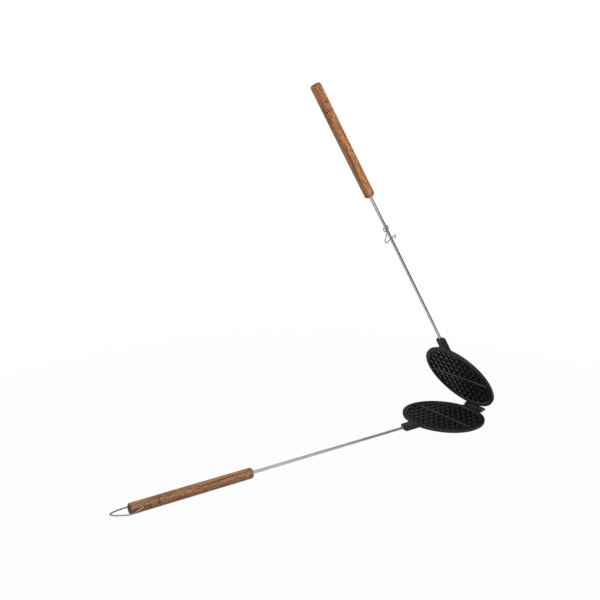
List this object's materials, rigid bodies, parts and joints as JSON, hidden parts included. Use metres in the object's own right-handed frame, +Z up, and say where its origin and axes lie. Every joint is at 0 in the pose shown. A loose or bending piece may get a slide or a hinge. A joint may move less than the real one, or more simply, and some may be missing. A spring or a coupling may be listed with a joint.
{
  "type": "campfire waffle iron",
  "caption": "Long-handled campfire waffle iron: two hinged cast dish plates with studs, steel rods, wooden handles, a hanging loop and a wire latch.",
  "frame": {"origin": "bottom centre of the bounding box, at the rest pose: the iron stands open as in the picture, lying on its lower half", "axes": "+X from the lower handle to the hinge, +Y along the hinge axis, +Z up"},
  "size_m": [0.877, 0.18, 0.7072],
  "materials": {
    "cast_iron": "seasoned black, fine cast grain",
    "steel": "plain drawn wire and rod",
    "wood": "stained reddish brown, satin"
  },
  "bodies": {
    "lower_half": {"lower_plate": "cast_iron", "hinge_pin": "steel", "lower_rod": "steel", "lower_rod_pin": "steel", "lower_handle": "wood", "hanging_loop": "steel"},
    "upper_half": {"upper_plate": "cast_iron", "upper_rod": "steel", "upper_rod_pin": "steel", "upper_handle": "wood"},
    "latch": {"latch": "steel"}
  },
  "joints": [
    {"name": "hinge", "type": "hinge", "parent": "lower_half", "child": "upper_half", "pos_m": [0.4246, 0, 0.01227], "axis": [0, 1, 0], "range_deg": [-52.4, 87.6]},
    {"name": "latch_swivel", "type": "hinge", "parent": "upper_half", "child": "latch", "pos_m": [0.13659, 0, 0.44298], "axis": [0.5557, 0, -0.8314], "continuous": true}
  ]
}
